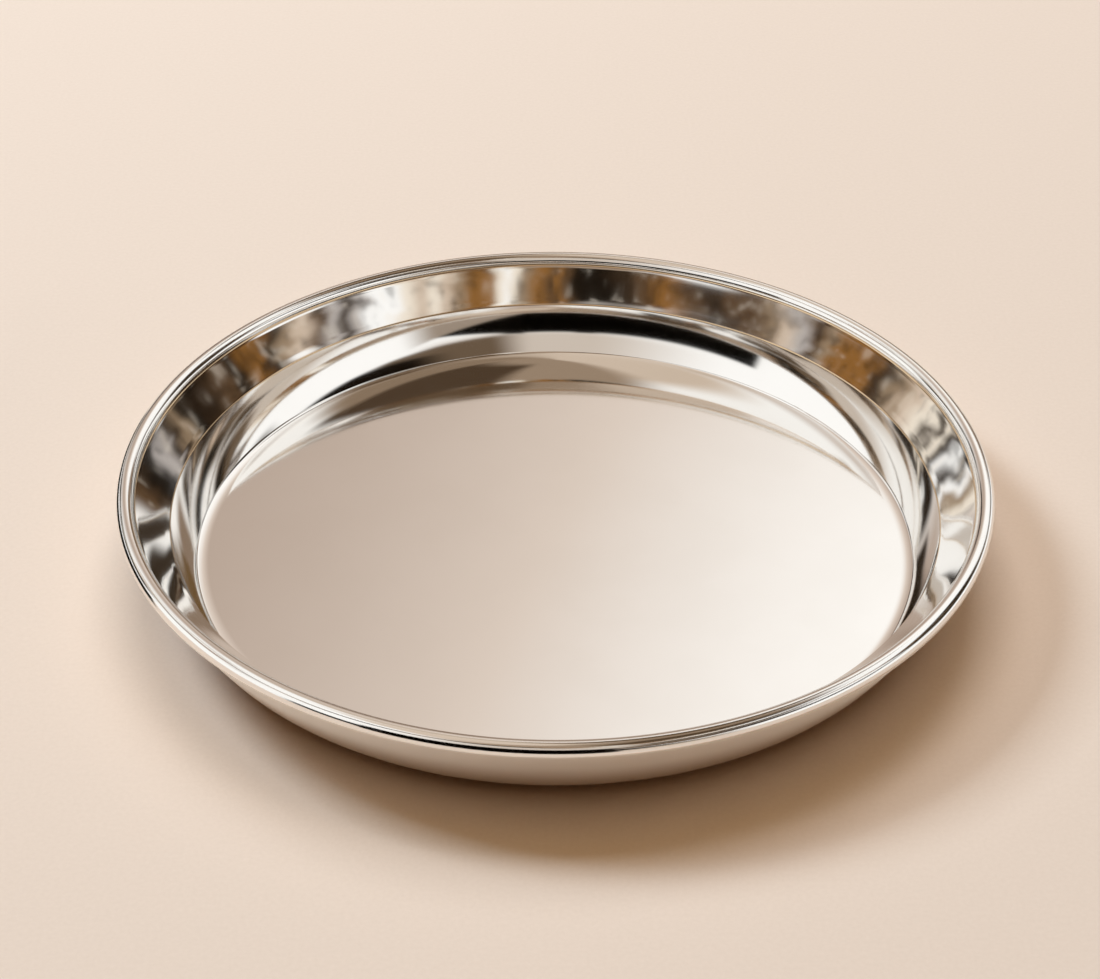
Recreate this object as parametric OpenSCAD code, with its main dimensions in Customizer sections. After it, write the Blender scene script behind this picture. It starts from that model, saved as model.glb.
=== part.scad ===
// Thali plate with two walls: a polished pan set in an outer shell, the two joined in an edge that is rolled
// round a stiffening wire. The axis is Z, the plate stands on z = 0, and all lengths are in millimetres.

/* [Plate] */
// Overall diameter, across the rolled edge
plate_d = 280; // [200:1:360]
// Overall height, from the table to the top of the rolled edge
plate_h = 32; // [28:0.5:42]

/* [Sheet] */
// Thickness of the pan's sheet
pan_sheet = 0.5; // [0.4:0.05:0.8]
// Thickness of the shell's sheet
shell_sheet = 0.5; // [0.4:0.05:0.8]
// Air gap between the pan's floor and the shell's base
air_gap = 0.5; // [0.3:0.1:3]

/* [Floor edge] */
// Width of the soft rise just inside the crease
rise_w = 4.4; // [2.4:0.1:8]
// Height that the soft rise climbs
rise_h = 0.45; // [0.2:0.05:1.2]
// Radius in the crease between floor and wall
crease_r = 1.6; // [0.8:0.1:2.5]

/* [Wall of the pan] */
// Width of the coved wall, from the crease out to the ridge
cove_w = 7.1; // [5:0.1:12]
// Depth of the cove, from the straight line between crease and ridge to the corner of its two tangents
cove_depth = 1.4; // [0.8:0.1:3]
// Radius of the bend, on the underside of the ridge
ridge_bend_r = 0.5; // [0.2:0.1:1.5]

/* [Flare of the pan] */
// Width of the flared band, from the ridge out to the rolled edge
flare_w = 10.6; // [6:0.1:16]
// Slope of the flared band above the horizontal, in degrees
flare_slope = 45; // [32:1:52]
// Radius inside, where the flare turns up into the rolled edge
shoulder_r = 1.2; // [0.5:0.1:2]

/* [Shell] */
// How far the corner of the shell's base and wall, before it is rounded, lies outside the pan's crease
base_reach = 4.5; // [3.5:0.1:8]
// Radius between the shell's base and wall, on the outside
base_edge_r = 14; // [6:0.5:18]

/* [Rolled edge] */
// Diameter of the wire
wire_d = 3.2; // [2.4:0.1:5]
// Clearance between wire, shell and pan inside the rolled edge
clearance = 0.1; // [0.05:0.05:0.3]
// How far the shell's edge goes round the wire, in degrees
shell_wrap = 265; // [200:5:280]
// Gap between the two butted ends of the wire
wire_end_gap = 0.6; // [0.2:0.1:2]

/* [Hidden] */

// Fineness of the turned surfaces, and the largest turn of one facet of a section, in degrees
$fn = 180;
facet_turn = 4;

// The rolled edge: the shell's roll lies inside the pan's, about the same centre
shell_roll_r = wire_d / 2 + clearance + shell_sheet;
pan_roll_r = shell_roll_r + clearance + pan_sheet;
roll_centre = [plate_d / 2 - pan_roll_r, plate_h - pan_roll_r];

// The upright foot of the pan's roll, just tall enough for the shoulder's radius
shoulder_turn = 90 - flare_slope;
shoulder = roll_centre - [pan_roll_r, shoulder_r * tan(shoulder_turn / 2)];
roll_foot = [shoulder.x, roll_centre.y];

// Corners of the pan's inside face, before they are rounded
floor_z = shell_sheet + air_gap + pan_sheet;
ridge = shoulder - flare_w * [1, tan(flare_slope)];
crease = [ridge.x - cove_w, floor_z + rise_h];
wall_run = ridge - crease;
wall_out = [wall_run.y, -wall_run.x] / norm(wall_run);
cove = (crease + ridge) / 2 + cove_depth * wall_out;
rise_foot = [crease.x - rise_w / 2, floor_z];
floor_centre = [0, floor_z];
corners = [floor_centre, rise_foot, crease, cove, ridge, shoulder, roll_foot];

// Radii of the inside face: the rise and the cove take all the room that their neighbours leave
ridge_r = ridge_bend_r + pan_sheet;
rise_room = norm(crease - rise_foot) - setback(2, crease_r);
cove_room = norm(cove - crease) - max(setback(2, crease_r), setback(4, ridge_r));
rise_r = rise_room / tan(abs(turn(1)) / 2);
cove_r = cove_room / tan(abs(turn(3)) / 2);
radii = [0, rise_r, crease_r, cove_r, ridge_r, shoulder_r, 0];

// The shell's wall runs straight from its base's rounding to the outer side of its roll
base_corner = [crease.x + base_reach, 0];
to_roll = roll_centre - base_corner;
shell_slope = atan2(to_roll.y, to_roll.x) - asin(shell_roll_r / norm(to_roll));
base_edge_centre = [base_corner.x - base_edge_r * tan(shell_slope / 2), base_edge_r];

// Where the shell's wall meets its roll, which is where the pan's roll ends, as an angle about the roll's centre
roll_meet = shell_slope - 90;

// Direction of the stretch that starts at the pan's corner i, and the turn at corner i, left turns positive
function heading(i) = let (d = corners[i + 1] - corners[i]) atan2(d.y, d.x);
function turn(i) = heading(i) - heading(i - 1);

// How far from corner i a rounding of radius r starts
function setback(i, r) = r * tan(abs(turn(i)) / 2);

// Points along an arc from angle a0 to a1
function arc(centre, r, a0, a1) =
    let (steps = ceil(abs(a1 - a0) / facet_turn))
    [for (k = [0:steps]) let (a = a0 + (a1 - a0) * k / steps) centre + r * [cos(a), sin(a)]];

// Rounding of corner i on the face that lies a depth below the pan's inside face
function rounding(i, depth) =
    let (
        side = sign(turn(i)),
        a0 = heading(i - 1) - 90 * side,
        start = corners[i] - setback(i, radii[i]) * [cos(heading(i - 1)), sin(heading(i - 1))],
        centre = start - radii[i] * [cos(a0), sin(a0)]
    )
    arc(centre, radii[i] + side * depth, a0, a0 + turn(i));

// One whole face of the pan, from the axis over the rolled edge to where it meets the shell
function pan_face(depth) = concat(
    [floor_centre - [0, depth]],
    [for (i = [1:len(corners) - 2]) each rounding(i, depth)],
    arc(roll_centre, pan_roll_r - depth, 180, roll_meet)
);

// One whole face of the shell, from the axis up the wall and round the wire, a depth inside its outer face
function shell_face(depth) = concat(
    [[0, depth]],
    arc(base_edge_centre, base_edge_r - depth, -90, roll_meet),
    arc(roll_centre, shell_roll_r - depth, roll_meet, roll_meet + shell_wrap)
);

// Half-section of a sheet that lies between two faces
module between(face, other) {
    polygon(concat(face, [for (i = [len(other) - 1:-1:0]) other[i]]));
}

// Pan: flat floor, coved wall, flared band and an edge rolled over the shell's
module dished_pan() {
    color("silver")
        rotate_extrude()
            between(pan_face(0), pan_face(pan_sheet));
}

// Shell: flat base, rounded base edge, straight wall and an edge rolled round the wire
module outer_shell() {
    color("lightsteelblue")
        rotate_extrude()
            between(shell_face(0), shell_face(shell_sheet));
}

// Wire: one length bent to a ring inside the rolled edge, its ends butted
module rim_wire() {
    gap_turn = 360 * wire_end_gap / (2 * PI * roll_centre.x);
    color("dimgray")
        rotate([0, 0, 90 + gap_turn / 2])
            rotate_extrude(angle = 360 - gap_turn)
                translate(roll_centre)
                    circle(d = wire_d);
}

dished_pan();
outer_shell();
rim_wire();
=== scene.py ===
# %% [markdown]
# # A thali plate of polished steel
#
# A thali is the wide metal plate that a whole meal is served on. This one has two walls: a pan with a
# flat floor, a hollow wall and a flared band, and a smooth shell round it. The edges of both are rolled
# round a ring of wire, and that rolled edge holds the plate together. The exact solids were drawn
# before and are loaded here as a fixed frame. Blender adds what the solids don't have: surfaces fine
# enough to mirror a room, a polished finish, a floor, light and a camera.

# %% Load the frame
from math import asin, atan2, ceil, copysign, cos, degrees, pi, radians, sin, tan
from types import SimpleNamespace

import bmesh
import bpy
from mathutils import Matrix, Vector


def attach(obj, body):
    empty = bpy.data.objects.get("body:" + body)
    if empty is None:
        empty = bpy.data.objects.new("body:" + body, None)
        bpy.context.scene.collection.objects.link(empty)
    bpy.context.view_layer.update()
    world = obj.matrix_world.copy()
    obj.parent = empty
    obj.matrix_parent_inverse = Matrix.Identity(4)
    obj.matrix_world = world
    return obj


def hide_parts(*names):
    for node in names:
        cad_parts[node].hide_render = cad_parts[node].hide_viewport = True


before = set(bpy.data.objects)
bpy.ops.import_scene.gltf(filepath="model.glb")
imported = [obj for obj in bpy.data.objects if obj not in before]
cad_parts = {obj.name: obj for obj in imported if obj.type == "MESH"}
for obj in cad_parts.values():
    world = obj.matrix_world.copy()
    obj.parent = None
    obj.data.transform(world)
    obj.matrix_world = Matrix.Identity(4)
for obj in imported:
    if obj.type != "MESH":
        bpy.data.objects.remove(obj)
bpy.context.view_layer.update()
print("solids:", sorted(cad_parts))

# %% [markdown]
# ## The half-sections
#
# Spun metal is the same all the way round, so one half-section says everything about its shape. Each
# sheet is a line that bends at a few places. It could be traced as a free curve, but a metal spinner
# would give it as straight stretches, with a radius at each bend. That is the rule here, with the same
# sizes as the solids: first the corners, then their radii.

# %% Sizes of the plate
MM = 0.001

plate_d = 280 * MM
plate_h = 32 * MM
pan_sheet = 0.5 * MM
shell_sheet = 0.5 * MM
air_gap = 0.5 * MM

rise_w = 4.4 * MM
rise_h = 0.45 * MM
crease_r = 1.6 * MM

cove_w = 7.1 * MM
cove_depth = 1.4 * MM
ridge_r = 0.5 * MM + pan_sheet

flare_w = 10.6 * MM
flare_slope = radians(45)
shoulder_r = 1.2 * MM

base_reach = 4.5 * MM
base_edge_r = 14 * MM

wire_d = 3.2 * MM
clearance = 0.1 * MM
shell_wrap = radians(265)

shell_roll_r = wire_d / 2 + clearance + shell_sheet
pan_roll_r = shell_roll_r + clearance + pan_sheet
roll_centre = Vector((plate_d / 2 - pan_roll_r, plate_h - pan_roll_r))
print(f"plate: {plate_d / MM:.0f} mm across, {plate_h / MM:.0f} mm high")
print(f"rolled edge: {2 * pan_roll_r / MM:.1f} mm thick")

# %% Corners of the pan's inside face, from the axis outwards
shoulder = roll_centre - Vector((pan_roll_r, shoulder_r * tan((pi / 2 - flare_slope) / 2)))
roll_foot = Vector((shoulder.x, roll_centre.y))
floor_z = shell_sheet + air_gap + pan_sheet
ridge = shoulder - flare_w * Vector((1, tan(flare_slope)))
crease = Vector((ridge.x - cove_w, floor_z + rise_h))
wall_run = (ridge - crease).normalized()
cove = (crease + ridge) / 2 + cove_depth * Vector((wall_run.y, -wall_run.x))
rise_foot = Vector((crease.x - rise_w / 2, floor_z))
floor_centre = Vector((0, floor_z))
corners = [floor_centre, rise_foot, crease, cove, ridge, shoulder, roll_foot]


def heading(i):
    """Direction of the pan's stretch that starts at corner i."""
    stretch = corners[i + 1] - corners[i]
    return atan2(stretch.y, stretch.x)


def turn(i):
    """How far the pan's sheet turns at corner i: upwards is positive."""
    return heading(i) - heading(i - 1)


def setback(i, radius):
    """How far before corner i its rounding starts."""
    return radius * tan(abs(turn(i)) / 2)


rise_room = (crease - rise_foot).length - setback(2, crease_r)
cove_room = (cove - crease).length - max(setback(2, crease_r), setback(4, ridge_r))
rise_r = rise_room / tan(abs(turn(1)) / 2)
cove_r = cove_room / tan(abs(turn(3)) / 2)
radii = [0, rise_r, crease_r, cove_r, ridge_r, shoulder_r, 0]
print("radii at the pan's bends, in mm:", [round(r / MM, 2) for r in radii[1:-1]])

# %% The shell's straight wall, from its rounded base edge to its roll
base_corner = Vector((crease.x + base_reach, 0))
to_roll = roll_centre - base_corner
shell_slope = atan2(to_roll.y, to_roll.x) - asin(shell_roll_r / to_roll.length)
base_edge_centre = Vector((base_corner.x - base_edge_r * tan(shell_slope / 2), base_edge_r))
roll_meet = shell_slope - pi / 2
print(f"shell: base flat to {base_edge_centre.x / MM:.1f} mm, wall at {degrees(shell_slope):.1f} degrees")

# %% [markdown]
# A mirror shows every facet, so the bends that can be seen are cut much finer than on the solids. The
# straight stretches matter as well: smooth shading blends the slope of neighbouring faces, and a long
# face next to a bend would look dished. A ring close to each end of a stretch keeps it straight.

# %% Points of the half-sections
seen_facet = radians(1.8)
roll_facet = radians(2.5)
hidden_facet = radians(8)
end_ring = 0.12 * MM
longest_face = 9 * MM
same_point = 0.0001 * MM


def arc(centre, radius, start, end, facet):
    """Points along an arc, both ends included."""
    steps = max(2, ceil(abs(end - start) / facet))
    angles = [start + (end - start) * k / steps for k in range(steps + 1)]
    return [centre + radius * Vector((cos(a), sin(a))) for a in angles]


def rounding(i, depth, facet):
    """The bend at corner i, on the face that lies a depth below the pan's inside face."""
    side = copysign(1, turn(i))
    start = heading(i - 1) - side * pi / 2
    begin = corners[i] - setback(i, radii[i]) * Vector((cos(heading(i - 1)), sin(heading(i - 1))))
    centre = begin - radii[i] * Vector((cos(start), sin(start)))
    return arc(centre, radii[i] + side * depth, start, start + turn(i), facet)


def stretch_between(a, b):
    """Points on the straight line from a to b, without its ends."""
    length = (b - a).length
    if length < 3 * end_ring:
        return []
    inner = length - 2 * end_ring
    steps = max(1, ceil(inner / longest_face))
    return [a.lerp(b, (end_ring + inner * k / steps) / length) for k in range(steps + 1)]


def joined(runs):
    """One line of points through several runs, with straight stretches between them."""
    points = list(runs[0])
    for run in runs[1:]:
        points += stretch_between(points[-1], run[0])
        points += run[1:] if (run[0] - points[-1]).length < same_point else run
    return points


def pan_face(depth, facet, facet_on_roll):
    """One whole face of the pan, from the axis over the rolled edge to where it meets the shell."""
    bends = [rounding(i, depth, facet) for i in range(1, len(corners) - 1)]
    roll = arc(roll_centre, pan_roll_r - depth, pi, roll_meet, facet_on_roll)
    return joined([[floor_centre - Vector((0, depth))], *bends, roll])


def shell_face(depth, facet):
    """One whole face of the shell, from the axis up the wall and round the wire."""
    base_edge = arc(base_edge_centre, base_edge_r - depth, -pi / 2, roll_meet, facet)
    roll = arc(roll_centre, shell_roll_r - depth, roll_meet, roll_meet + shell_wrap, hidden_facet)
    return joined([[Vector((0, depth))], base_edge, roll])


pan_top = pan_face(0, seen_facet, roll_facet)
pan_line = joined([pan_face(pan_sheet, hidden_facet, hidden_facet), pan_top[::-1]])
shell_line = joined([shell_face(0, seen_facet), shell_face(shell_sheet, hidden_facet)[::-1]])
print(len(pan_line), "points in the pan's section,", len(shell_line), "in the shell's")

# %% [markdown]
# ## Node trees as Python
#
# The turning and the finishes are all node trees. Wired by hand in a script they become long lists of
# links, so two small classes do the wiring. A Bench is a tree to work on, and its node method adds any
# node: settings first, then values or links. A Strand is what comes out of a node, and sums with
# strands add Math nodes.


# %% A strand and a bench
class Strand:
    """The output of a node, for use in expressions."""

    def __init__(self, bench, socket):
        self.bench = bench
        self.socket = socket

    def math(self, operation, *others):
        return self.bench.math(operation, self, *others)

    def __add__(self, other):
        return self.math("ADD", other)

    def __sub__(self, other):
        return self.math("SUBTRACT", other)

    def __mul__(self, other):
        return self.math("MULTIPLY", other)

    def __truediv__(self, other):
        return self.math("DIVIDE", other)

    def __mod__(self, other):
        return self.math("MODULO", other)

    def __radd__(self, other):
        return self.bench.math("ADD", other, self)

    def __rsub__(self, other):
        return self.bench.math("SUBTRACT", other, self)

    def __rmul__(self, other):
        return self.bench.math("MULTIPLY", other, self)

    def __rtruediv__(self, other):
        return self.bench.math("DIVIDE", other, self)

    def __rmod__(self, other):
        return self.bench.math("MODULO", other, self)


class Bench:
    """A node tree to work on."""

    def __init__(self, tree):
        self.tree = tree

    def node(self, kind, settings=None, sockets=None, out=0):
        """Adds a node, sets it, then fills its sockets with values or strands. Returns one output."""
        made = self.tree.nodes.new(kind)
        for name, value in (settings or {}).items():
            if name == "stops":
                self.fill_ramp(made.color_ramp, value)
            else:
                setattr(made, name, value)
        for name, value in (sockets or {}).items():
            if isinstance(value, Strand):
                self.link(value, made.inputs[name])
            else:
                made.inputs[name].default_value = value
        return Strand(self, made.outputs[out]) if len(made.outputs) else made

    def link(self, strand, socket):
        self.tree.links.new(strand.socket, socket)

    def fill_ramp(self, ramp, stops):
        while len(ramp.elements) < len(stops):
            ramp.elements.new(1)
        for element, (place, colour) in zip(ramp.elements, stops):
            element.position = place
            element.color = (*colour, 1)

    def math(self, operation, *values):
        return self.node("ShaderNodeMath", {"operation": operation}, dict(enumerate(values)))

    def step_up(self, value, low, high):
        """A soft step: 0 where the value is at low, 1 where it is at high."""
        sockets = {"Value": value, "From Min": low, "From Max": high}
        return self.node("ShaderNodeMapRange", {"interpolation_type": "SMOOTHSTEP"}, sockets)

    def blend(self, amount, first, second):
        """The first colour where the amount is 0, the second where it is 1."""
        sockets = {0: amount, 6: first, 7: second}
        return self.node("ShaderNodeMix", {"data_type": "RGBA"}, sockets, out=2)


print("bench ready")

# %% [markdown]
# ## Turning the pan
#
# The real pan is spun on a lathe, where a disc is pressed over a former as it turns. A Screw modifier
# or a Spin could turn the section too. A Geometry Nodes tree is used because its inputs have names and
# it can be turned again at another fineness: it takes a grid with one column for each step round and
# one row for each point of the section, puts every point of the grid in its place, and welds the seam
# and the two poles shut.


# %% The turning tree
def turning_tree():
    tree = bpy.data.node_groups.new("Turning", "GeometryNodeTree")
    inputs = {"Section": "Geometry", "Steps Round": "Int", "Weld": "Float", "Finish": "Material"}
    for name, kind in inputs.items():
        tree.interface.new_socket(name, in_out="INPUT", socket_type="NodeSocket" + kind)
    tree.interface.new_socket("Turned", in_out="OUTPUT", socket_type="NodeSocketGeometry")
    bench = Bench(tree)
    given = tree.nodes.new("NodeGroupInput")
    section, steps, weld, finish = (Strand(bench, given.outputs[k]) for k in range(4))

    points = bench.node("GeometryNodeAttributeDomainSize", None, {"Geometry": section})
    grid = bench.node("GeometryNodeMeshGrid", None, {"Vertices X": steps + 1, "Vertices Y": points})
    index = bench.node("GeometryNodeInputIndex")
    row = index % points
    column = (index / points).math("FLOOR")
    place = bench.node("GeometryNodeInputPosition")
    wanted = {"Geometry": section, "Value": place, "Index": row}
    on_section = bench.node("GeometryNodeSampleIndex", {"data_type": "FLOAT_VECTOR"}, wanted)
    swing = {"Vector": on_section, "Angle": column * (2 * pi) / steps}
    turned_place = bench.node("ShaderNodeVectorRotate", {"rotation_type": "Z_AXIS"}, swing)

    moved = bench.node("GeometryNodeSetPosition", None, {"Geometry": grid, "Position": turned_place})
    welded = bench.node("GeometryNodeMergeByDistance", None, {"Geometry": moved, "Distance": weld})
    smooth = bench.node("GeometryNodeSetShadeSmooth", None, {"Geometry": welded, "Shade Smooth": True})
    whole = bench.node("GeometryNodeRealizeInstances", None, {"Geometry": smooth})
    finished = bench.node("GeometryNodeSetMaterial", None, {"Geometry": whole, "Material": finish})
    bench.node("NodeGroupOutput", None, {"Turned": finished})
    return tree


turning = turning_tree()
print("turning tree:", len(turning.nodes), "nodes")

# %% [markdown]
# The section goes in as a bare line of points, in the plane of X and Z. What comes out is kept as a
# plain mesh, and a few numbers show whether it is sound: no open edges, and a volume above zero, which
# means that its faces point outwards.

# %% Turn the pan and the shell
steps_round = 320
weld_gap = 0.002 * MM


def turn_piece(name, points, steps, finish):
    """A plain mesh object, turned about Z from a line of points (radius, height)."""
    line = bpy.data.meshes.new(name)
    edges = [(k, k + 1) for k in range(len(points) - 1)]
    line.from_pydata([(p.x, 0, p.y) for p in points], edges, [])
    piece = bpy.data.objects.new(name, line)
    bpy.context.scene.collection.objects.link(piece)
    modifier = piece.modifiers.new("Turning", "NODES")
    modifier.node_group = turning
    inputs = {s.name: s.identifier for s in turning.interface.items_tree if s.in_out == "INPUT"}
    modifier[inputs["Steps Round"]] = steps
    modifier[inputs["Weld"]] = weld_gap
    modifier[inputs["Finish"]] = finish
    evaluated = piece.evaluated_get(bpy.context.evaluated_depsgraph_get())
    turned = bpy.data.meshes.new_from_object(evaluated)
    piece.modifiers.clear()
    piece.data = turned
    bpy.data.meshes.remove(line)
    turned.name = name
    return piece


def sound(piece):
    """Triangles, open edges and volume of a piece, as words."""
    check = bmesh.new()
    check.from_mesh(piece.data)
    triangles = sum(len(f.verts) - 2 for f in check.faces)
    open_edges = sum(not e.is_manifold for e in check.edges)
    volume = check.calc_volume(signed=True)
    check.free()
    return f"{triangles} triangles, {open_edges} open edges, {volume / MM ** 3:.0f} cubic mm"


polished_steel = bpy.data.materials.new("polished_steel")
pan = turn_piece("pan", pan_line, steps_round, polished_steel)
shell = turn_piece("shell", shell_line, steps_round, polished_steel)
print("pan:", sound(pan))
print("shell:", sound(shell))

# %% [markdown]
# ## Polished steel
#
# Pan and shell are spun from the same kind of sheet. The pan is buffed until it mirrors, the shell only
# to a satin. Looked at closely, neither is perfect. Each mark on them is a pattern on Object
# coordinates. Painted images could do the same, but patterns keep their size close up. The helpers come
# first: places on the plate, and noise at any place.

# %% Places on the plate
near_axis = 1e-8
noise_middle = 0.5


def places(bench):
    """Object coordinates, with the distance from the axis, the height and the direction round the axis."""
    place = bench.node("ShaderNodeTexCoord", None, None, out="Object")
    split = bench.node("ShaderNodeSeparateXYZ", None, {"Vector": place}).socket.node
    x, y, z = (Strand(bench, split.outputs[k]) for k in range(3))
    radius = (x * x + y * y + near_axis).math("SQRT")
    return place, radius, z, x / radius, y / radius


def noise_at(bench, coordinates, scale, detail):
    """Smooth noise at given coordinates, from 0 to 1."""
    at = bench.node("ShaderNodeCombineXYZ", None, dict(zip("XYZ", coordinates)))
    return bench.node("ShaderNodeTexNoise", None, {"Vector": at, "Scale": scale, "Detail": detail})


print("helpers for places on the plate ready")

# %% [markdown]
# The buff leaves very fine rings about the axis, and wiping leaves faint cloudy patches. The ridge and
# the top of the rolled edge are dulled where plates rub in a stack. A thin golden line is painted in the
# two corners of the flare: polishing paste that stays in the corner under the rolled edge, and on both
# corners a painted reflection, the gold line that these edges mirror. The lower part of the shell is
# painted a darker brown, a painted shade for the plate's own shadow on the floor, which it mirrors.
# The outside is found by the normal, which points downwards there. A pair of values below is where a
# mark is absent and where it is full.

# %% Marks on the steel
rings_per_m = 1200
clouds_per_m = 30
cloudy = (0.35, 0.7)
worn_top = (plate_h - 0.8 * MM, plate_h)
ridge_line = (0.5 * MM, 0.1 * MM)
shoulder_line = (0.6 * MM, 0.2 * MM)
shoulder_side = (shoulder.x + 1.2 * MM, shoulder.x + 0.4 * MM)
bead_side = (shoulder.x - 0.2 * MM, shoulder.x + 0.8 * MM)
facing_down = (-0.05, -0.4)
off_the_base = (-1, -0.97)
# Painted shade on the outside of the shell: full at the floor, gone 20 mm up.
painted_shade_heights = (20 * MM, 0)


def steel_marks(bench):
    """Places on the plate, and masks from 0 to 1 for the marks on the steel."""
    place, radius, height, round_x, round_y = places(bench)
    normal = bench.node("ShaderNodeNewGeometry", None, None, out="Normal")
    facing = bench.node("ShaderNodeSeparateXYZ", None, {"Vector": normal}, out="Z")
    patches = bench.node("ShaderNodeTexNoise", None, {"Vector": place, "Scale": clouds_per_m, "Detail": 4})
    outside = bench.step_up(facing, *facing_down)
    at_shoulder = bench.step_up((height - shoulder.y).math("ABSOLUTE"), *shoulder_line)
    return SimpleNamespace(
        radius=radius,
        height=height,
        around=(round_x, round_y),
        rings=noise_at(bench, (round_x, round_y, (radius + height) * rings_per_m), scale=2, detail=3),
        cloud=bench.step_up(patches, *cloudy),
        bead_top=bench.step_up(height, *worn_top),
        # The ridge is dulled by rubbing, and it carries a painted golden reflection line.
        ridge=bench.step_up((height - ridge.y).math("ABSOLUTE"), *ridge_line),
        bead=bench.step_up(radius, *bead_side),
        # Under the rolled edge: polishing paste and a painted golden reflection line.
        under_bead=at_shoulder * bench.step_up(radius, *shoulder_side),
        outside=outside,
        # Painted shade: the outside wall darker towards the floor, but not the flat base.
        painted_shade=bench.step_up(height, *painted_shade_heights) * outside * bench.step_up(facing, *off_the_base),
    )


print("marks:", rings_per_m, "rings and", clouds_per_m, "clouds to a metre")

# %% [markdown]
# Roughness says how much the mirror blurs. The pan's is close to zero. It rises a little where the pan
# is rubbed and on the rolled edge, which is only buffed by hand. The outside is a satin, because nobody
# looks into it, and as a mirror it would show little but the plate's own shadow.

# %% How sharply the steel mirrors
mirror = 0.04
mirror_rings = 0.03
mirror_cloud = 0.02
worn = 0.06
bead_soft = 0.06
satin = 0.72
satin_rings = 0.06


def steel_roughness(marks):
    rubbed = marks.bead_top.math("MAXIMUM", marks.ridge) * marks.cloud * worn
    softened = rubbed.math("MAXIMUM", marks.bead * bead_soft)
    inside = mirror + marks.rings * mirror_rings + marks.cloud * mirror_cloud + softened
    return inside * (1 - marks.outside) + (marks.rings * satin_rings + satin) * marks.outside


print("roughness:", mirror, "inside and", satin, "outside")

# %% [markdown]
# The base colour of a metal tints what it mirrors. Clean steel is nearly white. The satin outside is a
# little warmer, a painted warm reflection of the floor. The golden line, partly paste and partly painted
# reflection, is golden brown, and the painted shade at the bottom of the shell is a darker brown.

# %% Colour of the steel
clean_steel = (0.925, 0.912, 0.892, 1)
wiped_steel = (0.91, 0.895, 0.872, 1)
# Painted warmth: the satin outside is tinted like the warm floor that it mirrors.
satin_with_painted_warmth = (0.925, 0.88, 0.82, 1)
# Colour of the painted shade at the bottom of the shell.
painted_shade_colour = (0.56, 0.41, 0.27, 1)
# Golden line: paste under the rolled edge, and painted reflection on both corners.
paste_and_painted_gold_colour = (0.60, 0.40, 0.19, 1)
paste_and_painted_gold_amount = 0.8


def steel_colour(bench, marks):
    # Painted golden reflection line on the ridge and under the rolled edge, partly paste.
    paste_and_painted_gold = marks.ridge.math("MAXIMUM", marks.under_bead) * (1 - marks.outside) * paste_and_painted_gold_amount
    steel = bench.blend(marks.cloud, clean_steel, wiped_steel)
    with_paste_and_painted_gold = bench.blend(paste_and_painted_gold, steel, paste_and_painted_gold_colour)
    # Painted warm reflection on the satin outside.
    warmed = bench.blend(marks.outside, with_paste_and_painted_gold, satin_with_painted_warmth)
    # Painted shade at the bottom of the shell.
    return bench.blend(marks.painted_shade, warmed, painted_shade_colour)


print("colours: clean, wiped, satin and scuffed steel, and paste")

# %% [markdown]
# A spun band is never quite even, and a mirror shows it at once. The flare bulges a little between its
# two corners and has long, low waves round it. Both are about a tenth of a millimetre high, too little
# for the mesh, so they are bump. Heights here are in millimetres. The waves lie about zero, because a
# bump that starts above zero would tilt the edge of the band.

# %% Unevenness of the flare
crown_h = 0.08
wave_h = 0.12
waves_round = 5
waves_up_m = 120
ring_h = 0.0004
past_ridge = (ridge.x, ridge.x + 2 * MM)
short_of_edge = (shoulder.x, shoulder.x - 1 * MM)


def steel_bump(bench, marks):
    across = (marks.radius - (ridge.x + shoulder.x) / 2) / (flare_w / 2)
    crown = (across * across).math("MINIMUM", 1) * -crown_h
    from_ridge = bench.step_up(marks.radius, *past_ridge)
    from_edge = bench.step_up(marks.radius, *short_of_edge)
    way = [side * waves_round for side in marks.around]
    noise = noise_at(bench, (*way, marks.height * waves_up_m), scale=1, detail=0)
    waves = (noise - noise_middle) * from_ridge * from_edge * wave_h
    uneven = crown + waves + marks.rings * ring_h
    return bench.node("ShaderNodeBump", None, {"Height": uneven, "Distance": MM})


print("flare:", crown_h, "mm of crown and", wave_h, "mm of waves")


# %% Finish of the pan and the shell
def finish_polished_steel(material):
    material.use_nodes = True
    bench = Bench(material.node_tree)
    marks = steel_marks(bench)
    shader = material.node_tree.nodes["Principled BSDF"]
    shader.inputs["Metallic"].default_value = 1
    bench.link(steel_colour(bench, marks), shader.inputs["Base Color"])
    bench.link(steel_roughness(marks), shader.inputs["Roughness"])
    bench.link(steel_bump(bench, marks), shader.inputs["Normal"])
    return len(material.node_tree.nodes)


print("polished steel:", finish_polished_steel(polished_steel), "nodes")

# %% [markdown]
# ## The wire in the rolled edge
#
# The wire is a ring of drawn steel that the sheet is rolled round. Once the edge is closed it can't be
# seen, so its solid is good enough as it is. It still gets a finish of its own, for a look at a plate
# that is cut open: grey steel with fine lines that follow the ring, as a drawing die leaves them.

# %% Finish of the wire
lines_per_m = 4000
lines_round = 4
dull_wire = (0.50, 0.49, 0.47, 1)
bright_wire = (0.62, 0.61, 0.59, 1)
wire_rough = 0.22
line_rough = 0.16


def finish_drawn_wire(material):
    material.use_nodes = True
    bench = Bench(material.node_tree)
    _, radius, height, round_x, _ = places(bench)
    drawn = (radius * lines_per_m, height * lines_per_m, round_x * lines_round)
    lines = noise_at(bench, drawn, scale=1, detail=3)
    shader = material.node_tree.nodes["Principled BSDF"]
    shader.inputs["Metallic"].default_value = 1
    bench.link(bench.blend(lines, dull_wire, bright_wire), shader.inputs["Base Color"])
    bench.link(wire_rough + lines * line_rough, shader.inputs["Roughness"])
    return len(material.node_tree.nodes)


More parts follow.
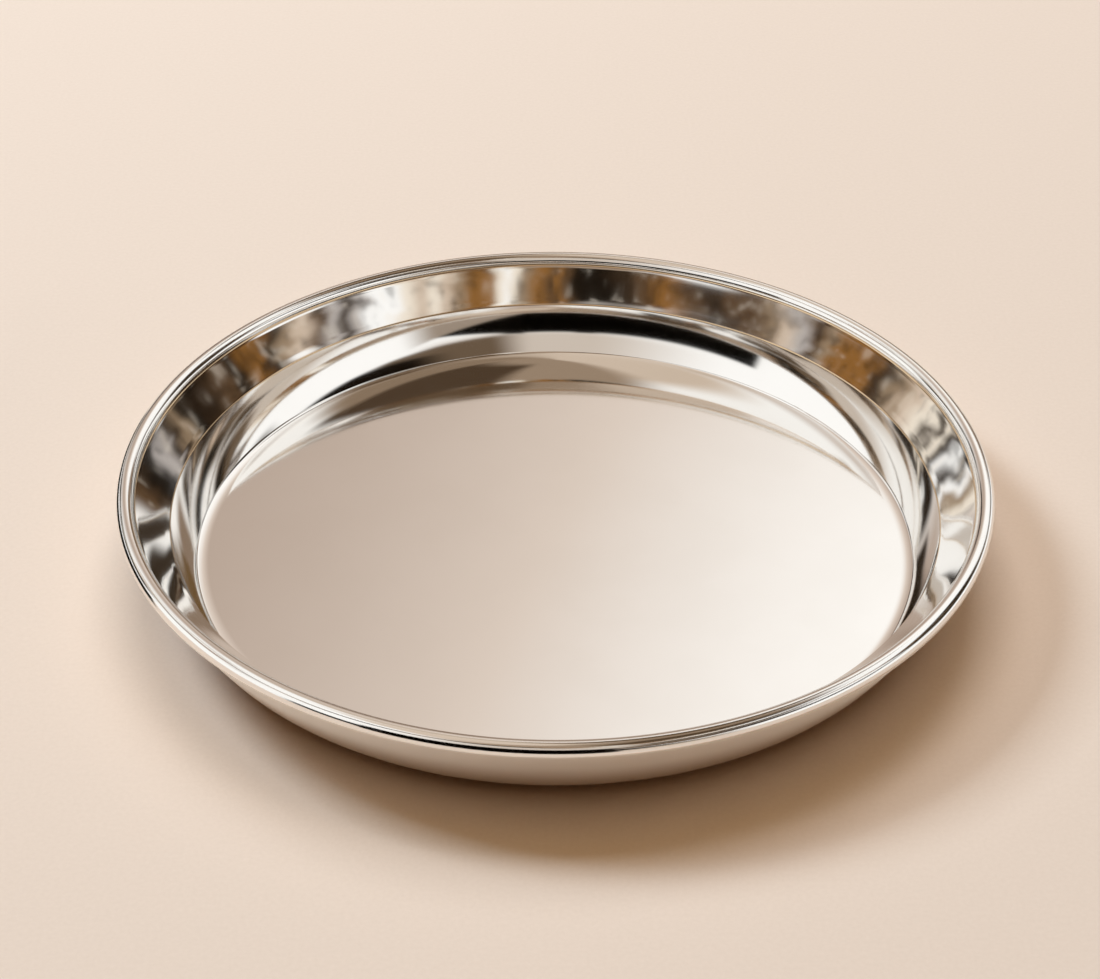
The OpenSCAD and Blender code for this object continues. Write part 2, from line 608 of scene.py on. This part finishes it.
drawn_wire = bpy.data.materials.new("drawn_wire")
print("drawn wire:", finish_drawn_wire(drawn_wire), "nodes")
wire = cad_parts["rim_wire"]
wire.data.materials.clear()
wire.data.materials.append(drawn_wire)

# %% [markdown]
# ## Pieces on their frame
#
# The turned pan and shell take the place of their solids and ride on the one body that the plate has.

# %% Ride the frame
for piece, solid in ((pan, "dished_pan"), (shell, "outer_shell")):
    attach(piece, "root")
    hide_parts(solid)

# %% [markdown]
# ## Floor
#
# A plain pale floor that turns into the backdrop a long way off, so that no edge of it shows from a low
# place. It is clear from below and open under the plate's flat base, so that the underside gets light
# and can be looked at as well. Colours of the floor's surroundings are written as they look on the
# screen.


# %% Colour of the backdrop
def on_screen(red, green, blue):
    """A colour for the shaders, from how it looks on the screen, by the screen's standard curve."""
    linear = [c / 12.92 if c <= 0.04045 else ((c + 0.055) / 1.055) ** 2.4 for c in (red, green, blue)]
    return (*linear, 1)


def looked_at(bench):
    """Two strands: whether the camera looks, and whether a mirror or a glass looks."""
    path = bench.node("ShaderNodeLightPath").socket.node
    from_eye = Strand(bench, path.outputs["Is Camera Ray"])
    from_gloss = Strand(bench, path.outputs["Is Glossy Ray"])
    from_glass = Strand(bench, path.outputs["Is Transmission Ray"])
    return from_eye, from_gloss.math("MAXIMUM", from_glass)


backdrop = on_screen(0.92, 0.85, 0.79)
print("backdrop:", [round(c, 2) for c in backdrop[:3]])

# %% Finish of the floor
floor_dark = (0.80, 0.665, 0.55, 1)
floor_light = (0.86, 0.725, 0.61, 1)
grains_per_m = 700
floor_rough = 0.8
fade = (0.8, 2.2)


def finish_floor(material):
    material.use_nodes = True
    bench = Bench(material.node_tree)
    shader = material.node_tree.nodes["Principled BSDF"]
    place, radius, *_ = places(bench)
    grain = bench.node("ShaderNodeTexNoise", None, {"Vector": place, "Scale": grains_per_m, "Detail": 2})
    bench.link(bench.blend(grain, floor_dark, floor_light), shader.inputs["Base Color"])
    shader.inputs["Roughness"].default_value = floor_rough
    from_eye, from_mirror = looked_at(bench)
    far_off = bench.step_up(radius, *fade) * from_eye.math("MAXIMUM", from_mirror)
    glow = bench.node("ShaderNodeEmission", None, {"Color": backdrop})
    solid = Strand(bench, shader.outputs["BSDF"])
    faded = bench.node("ShaderNodeMixShader", None, {0: far_off, 1: solid, 2: glow})
    clear = bench.node("ShaderNodeBsdfTransparent")
    under = bench.node("ShaderNodeNewGeometry", None, None, out="Backfacing")
    mixed = bench.node("ShaderNodeMixShader", None, {0: under, 1: faded, 2: clear})
    bench.link(mixed, material.node_tree.nodes["Material Output"].inputs["Surface"])


pale = bpy.data.materials.new("pale_floor")
finish_floor(pale)
print("floor finish:", len(pale.node_tree.nodes), "nodes")

# %% Lay the floor
floor_r = 6
floor_open_r = base_edge_centre.x - 1 * MM
floor_sides = 96
turns = [2 * pi * k / floor_sides for k in range(floor_sides)]
floor_points = [(r * cos(t), r * sin(t), 0) for r in (floor_open_r, floor_r) for t in turns]
nexts = [(k, (k + 1) % floor_sides) for k in range(floor_sides)]
floor_faces = [(k, k + floor_sides, after + floor_sides, after) for k, after in nexts]
floor_mesh = bpy.data.meshes.new("floor")
floor_mesh.from_pydata(floor_points, [], floor_faces)
floor = bpy.data.objects.new("floor", floor_mesh)
bpy.context.scene.collection.objects.link(floor)
floor_mesh.materials.append(pale)
print("floor:", 2 * floor_r, "m across")

# %% [markdown]
# ## Studio
#
# Polished metal has no look of its own: it shows the room. So the room is painted first, as a white
# tent with large cards in it, each with its place, its size, its soft edges and its colour. Real boards
# and lamps could do it, but a painted surround is the same from every side and has no noise. Directions
# are in degrees: round from the viewer's side, to the right, and up from the floor. Colours are written
# as they look on the screen.

# %% Directions in the studio
world = bpy.data.worlds.new("studio")
bpy.context.scene.world = world
world.use_nodes = True
studio = Bench(world.node_tree)
outlook = studio.node("ShaderNodeTexCoord", None, None, out="Generated")
parts = studio.node("ShaderNodeSeparateXYZ", None, {"Vector": outlook}).socket.node
look_x, look_y, look_z = (Strand(studio, parts.outputs[k]) for k in range(3))
in_degrees = 180 / pi
look_up = look_z.math("ARCSINE") * in_degrees


def look_round(centre):
    """Degrees round from a direction, to the right of it as seen from the plate."""
    c, s = cos(radians(centre)), sin(radians(centre))
    return (look_x * c + look_y * s).math("ARCTAN2", look_x * s - look_y * c) * in_degrees


def card(first, last, low, high, soft_round, soft_up, lean=0):
    """How much of a card is seen in each direction. Its lean is how far it rises for each degree round."""
    aside = look_round((first + last) / 2)
    above = (look_up - aside * lean - (low + high) / 2).math("ABSOLUTE")
    half_w, half_h = (last - first) / 2, (high - low) / 2
    across = studio.step_up(aside.math("ABSOLUTE"), half_w + soft_round / 2, half_w - soft_round / 2)
    upright = studio.step_up(above, half_h + soft_up / 2, half_h - soft_up / 2)
    return across * upright


white = (1.06, 1.05, 1.03, 1)
cream = on_screen(0.97, 0.925, 0.86)
sand = on_screen(0.84, 0.76, 0.68)
silver = on_screen(0.73, 0.70, 0.68)
tan_brown = on_screen(0.60, 0.51, 0.41)
gold = on_screen(0.56, 0.385, 0.19)
brown = on_screen(0.36, 0.27, 0.185)
dark = on_screen(0.21, 0.155, 0.105)
deep = on_screen(0.09, 0.065, 0.04)
black = on_screen(0.02, 0.014, 0.008)
print("card colours ready")

# %% [markdown]
# The far wall of the tent is what the plate's flat floor mirrors: cream, darker to the left and
# brighter to the right. The cards then go up one after the other, so that a later one covers an earlier
# one. The last one, on the left, is patchy, to break up the plain white that the lower right of the
# flare would mirror.

# %% The tent and its cards
far_colours = [
    (0, on_screen(0.735, 0.66, 0.605)),
    (0.5, on_screen(0.885, 0.825, 0.775)),
    (1, on_screen(1.04, 1.03, 1.015)),
]
far_sides = (-0.19, 0.17)
far_height = 0.6
far_lean = 0.6
far_half = (50, 15)
sideways = studio.step_up(look_x + (look_z - far_height) * far_lean, *far_sides)
far_stops = [(at, colour[:3]) for at, colour in far_colours]
far_wall = studio.node("ShaderNodeValToRGB", {"stops": far_stops}, {"Fac": sideways})
on_far_wall = studio.step_up(look_round(180).math("ABSOLUTE"), *far_half)
surround = studio.blend(on_far_wall, white, far_wall)

cards = [
    # colour, first and last degree round, lowest and highest degree up, soft sides, soft top, lean
    (on_screen(0.82, 0.77, 0.72), -34, 46, 18, 58, 50, 8),
    (on_screen(0.85, 0.78, 0.71), -200, 200, 66, 95, 10, 10),
    (on_screen(0.63, 0.55, 0.47), -42, 170, 60, 95, 30, 8),
    (on_screen(0.31, 0.245, 0.185), 24, 112, 55, 82, 14, 6),
    (on_screen(0.56, 0.48, 0.40), 104, 162, 60, 82, 16, 8),
    (on_screen(0.80, 0.73, 0.66), 150, 210, 48, 67, 10, 4),
    (on_screen(0.60, 0.52, 0.44), 150, 182.5, 48, 67, 3, 4),
    (on_screen(0.36, 0.28, 0.20), 150, 178.2, 48, 67, 1.2, 4),
    (on_screen(0.56, 0.48, 0.41), 146, 184, 5, 22, 6, 5),
    (on_screen(0.34, 0.28, 0.22), 22, 70, 37, 49, 10, 4),
    (on_screen(0.42, 0.35, 0.28), 14, 60, 19.5, 36, 14, 3),
    (on_screen(0.08, 0.055, 0.03), 40, 92, 19.5, 31, 18, 3, -0.2),
    (on_screen(0.15, 0.11, 0.075), -148, -114, 10, 23, 6, 4),
    (on_screen(0.17, 0.13, 0.09), -169, -151, 12, 20.5, 4, 3, -0.25),
    (on_screen(0.22, 0.175, 0.13), 94, 131, 12.5, 40, 8, 4),
    (on_screen(0.33, 0.28, 0.23), 126, 143, 13, 21, 5, 4),
    (on_screen(0.44, 0.34, 0.22), 158, 169, 13, 23.5, 4, 4),
    (black, -63, -6, -12, 16.8, 3, 2.5, 0.085),
    (black, -12, 16, -12, 19, 4, 2),
    (black, 10, 37, -12, 16.5, 3, 2, -0.24),
    (on_screen(0.62, 0.56, 0.50), 6, 48, -30, 10, 5, 2.5, 0.36),
    (white, 42, 100, -6, 20, 14, 2.5),
]
for colour, *where in cards:
    surround = studio.blend(card(*where), surround, colour)
glints_in_tent = 9
glint_edges = (0.48, 0.58)
glint_strength = 0.6
patchy_card = (-134, -80, 28, 50, 12, 3)
outlooks = [look * glints_in_tent for look in (look_x, look_y, look_z)]
glints = studio.step_up(noise_at(studio, outlooks, scale=1, detail=3), *glint_edges)
glinting = card(*patchy_card) * glints * glint_strength
surround = studio.blend(glinting, surround, tan_brown)
print("tent with", len(cards), "cards")

# %% [markdown]
# The flared band looks at a narrow arch of the room, from the floor on one side, high over the viewer,
# and down to the floor on the other side. A hoop of small cards hangs there. They are stops of two
# colour ramps, one for each half of the hoop. They sway a little and have fine dark and light streaks,
# so that the band isn't striped like a ruler.

# %% The hoop of small cards
hoop_top = 59.9
hoop_fall = 19.9
hoop_steeper = 2.1
fallen_at = 100
hoop_reach = 157
hoop_ends = (hoop_reach - 1, hoop_reach - 7)
hoop_half = 3.0
hoop_soft = 1.4
hoop_left = [
    (-152, cream), (-148, tan_brown), (-145, white), (-142, dark), (-139, white), (-136, dark),
    (-133, cream), (-131, dark), (-128, cream), (-121, sand), (-116, tan_brown), (-112, dark),
    (-108, gold), (-98, gold), (-94, tan_brown), (-90, brown), (-86, silver), (-81, sand),
    (-77, tan_brown), (-72, brown), (-66, brown), (-58, dark), (-50, brown), (-42, gold), (-34, brown),
    (-27, dark), (-18, deep), (-10, deep), (-5, brown), (0, gold),
]
hoop_right = [
    (0, brown), (7, gold), (13, tan_brown), (17, cream), (20, white), (23, cream), (26, gold),
    (33, gold), (37, tan_brown), (42, sand), (46, cream), (51, sand), (56, cream), (60, white),
    (67, white), (71, silver), (75, dark), (79, silver), (84, brown), (90, sand), (94, tan_brown),
    (98, dark), (103, gold), (108, deep), (114, brown), (119, dark), (125, deep), (130, tan_brown),
    (134, dark), (138, silver), (142, deep), (150, brown),
]


def half_hoop(small_cards, start, along):
    """One half of the hoop as a colour ramp, from its start to its start plus its reach."""
    stops = [((place - start) / hoop_reach, colour[:3]) for place, colour in small_cards]
    ramp = studio.node("ShaderNodeValToRGB", {"stops": stops}, {"Fac": (along - start) / hoop_reach})
    ramp.socket.node.color_ramp.interpolation = "EASE"
    return ramp


along = look_round(0)
bow = (along / fallen_at) * (along / fallen_at)
hoop_up = hoop_top - bow * hoop_fall - bow * bow * hoop_steeper
off_hoop = look_up - hoop_up
on_hoop = studio.step_up(off_hoop.math("ABSOLUTE"), hoop_half + hoop_soft, hoop_half)
in_reach = studio.step_up(along.math("ABSOLUTE"), *hoop_ends)
print("hoop from", hoop_top, "degrees up to the floor on both sides")

# %% Hang the small cards, swaying and streaked
sway_most = 16
sways_round = 5
sways_up = 0.45
streaks_round = 20
streaks_up = 0.35
dark_edges = (0.53, 0.63)
dark_strength = 0.5
light_edges = (0.44, 0.34)
light_strength = 0.3
middle_soft = (-0.1, 0.1)


def hoop_noise(times_round, times_up, detail):
    """Noise that is drawn out across the hoop."""
    stretched = (look_x * times_round, look_y * times_round, off_hoop * times_up)
    return noise_at(studio, stretched, scale=1, detail=detail)


swayed = along + (hoop_noise(sways_round, sways_up, 4) - noise_middle) * sway_most
halves = (half_hoop(hoop_left, -hoop_reach, swayed), half_hoop(hoop_right, 0, swayed))
hoop = studio.blend(studio.step_up(swayed, *middle_soft), *halves)
streaks = hoop_noise(streaks_round, streaks_up, 3)
hoop = studio.blend(studio.step_up(streaks, *dark_edges) * dark_strength, hoop, deep)
hoop = studio.blend(studio.step_up(streaks, *light_edges) * light_strength, hoop, cream)
surround = studio.blend(on_hoop * in_reach, surround, hoop)
print("hoop with", len(hoop_left) + len(hoop_right), "small cards")

# %% [markdown]
# Painted cards are endlessly far away, so every part of the plate sees them in the same direction. Two
# dark boards really stand close to the plate, as photographers put them to give shiny metal a dark
# outline. The one in front is low down for the far wall but high up for the near edge, where it gives
# the thick black line. The one on the left outlines the rolled edge on that side. Only mirrors see
# them, so they hide nothing and shade nothing.

# %% Dark boards close to the plate
felt = bpy.data.materials.new("black_felt")
felt.use_nodes = True
felt_shader = felt.node_tree.nodes["Principled BSDF"]
felt_shader.inputs["Base Color"].default_value = black
felt_shader.inputs["Roughness"].default_value = 1
felt_shader.inputs["Specular IOR Level"].default_value = 0


def stand_board(name, start, end, height):
    """An upright board of black felt on the floor, from one point to another, that only mirrors see."""
    mesh = bpy.data.meshes.new(name)
    mesh.from_pydata([(*start, 0), (*end, 0), (*end, height), (*start, height)], [], [(0, 1, 2, 3)])
    mesh.materials.append(felt)
    board = bpy.data.objects.new(name, mesh)
    bpy.context.scene.collection.objects.link(board)
    board.visible_camera = False
    board.visible_diffuse = False
    board.visible_shadow = False
    print(name, "from", start, "to", end, "and", height, "m high")


stand_board("front_board", (-0.23, -0.30), (0.06, -0.30), 0.145)
stand_board("left_board", (-0.20, -0.045), (-0.20, 0.16), 0.036)

# %% [markdown]
# Metal mirrors the cards. The floor is lit by a weak warm fill, a bright patch of it overhead, and two
# soft lamps behind the plate, the main one to the left. So the shadow falls to the front and the right,
# and it is darkest where the plate stands. The metal doesn't mirror the lamps, because the white of the
# tent stands for them.

# %% Fill
fill_low = (0.05, 0.026, 0.008, 1)
fill_overhead = (0.87, 0.59, 0.30, 1)
overhead_lean = radians(4)
overhead_edge = (0.80, 0.93)
overhead = look_z * cos(overhead_lean) - look_y * sin(overhead_lean)
fill = studio.blend(studio.step_up(overhead, *overhead_edge), fill_low, fill_overhead)
from_eye, from_mirror = looked_at(studio)
plain = studio.blend(from_eye, fill, backdrop)
seen = studio.blend(from_mirror, plain, surround)
studio.link(seen, world.node_tree.nodes["Background"].inputs["Color"])
print("studio:", len(world.node_tree.nodes), "nodes")

# %% Lamps
lamp_far = 4


def hang_lamp(name, to_left, up, size, power, colour):
    """A square lamp behind the plate, turned some degrees to the left and up, that looks at the plate."""
    data = bpy.data.lights.new(name, "AREA")
    data.size = size
    data.energy = power
    data.color = colour
    lamp = bpy.data.objects.new(name, data)
    bpy.context.scene.collection.objects.link(lamp)
    turn_left, turn_up = radians(to_left), radians(up)
    way = Vector((-sin(turn_left) * cos(turn_up), cos(turn_left) * cos(turn_up), sin(turn_up)))
    turned = way.to_track_quat("Z", "Y").to_matrix().to_4x4()
    lamp.matrix_world = Matrix.Translation(lamp_far * way) @ turned
    lamp.visible_glossy = False
    print(name, "at", [round(c, 2) for c in lamp.location])


hang_lamp("main_lamp", to_left=60, up=43, size=1.2, power=112, colour=(0.70, 0.85, 1.0))
hang_lamp("back_lamp", to_left=0, up=60, size=2.4, power=92, colour=(0.88, 0.93, 1.0))

# %% [markdown]
# ## Camera
#
# The camera stands in front, about 34 degrees above the rim. A long lens keeps the far side of the
# plate nearly as wide as the near side. Its place was worked out from the ovals of the rim, the ridge
# and the crease.

# %% Camera
picture_w = 1100
focal_px = 2600
sensor_w = 36
nearest = 10 * MM
stand_off = 836.4 * MM
stand_up = radians(34.374)
rim_centre = Vector((0, 0, roll_centre.y))
camera_place = rim_centre + stand_off * Vector((0, -cos(stand_up), sin(stand_up)))
aim = Vector((-1.68, -3.25, 24.45)) * MM
tilt = radians(0.141)

ahead = (aim - camera_place).normalized()
level = ahead.cross(Vector((0, 0, 1))).normalized()
upright = level.cross(ahead)
right = cos(tilt) * level + sin(tilt) * upright
up = cos(tilt) * upright - sin(tilt) * level
camera_data = bpy.data.cameras.new("camera")
camera_data.sensor_width = sensor_w
camera_data.lens = sensor_w * focal_px / picture_w
camera_data.clip_start = nearest
camera = bpy.data.objects.new("camera", camera_data)
bpy.context.scene.collection.objects.link(camera)
turned = Matrix((right, up, -ahead)).transposed().to_4x4()
camera.matrix_world = Matrix.Translation(camera_place) @ turned
bpy.context.scene.camera = camera
bpy.context.scene.view_settings.view_transform = "Standard"
print(f"camera: {camera_data.lens:.1f} mm lens at", [round(c, 3) for c in camera_place])
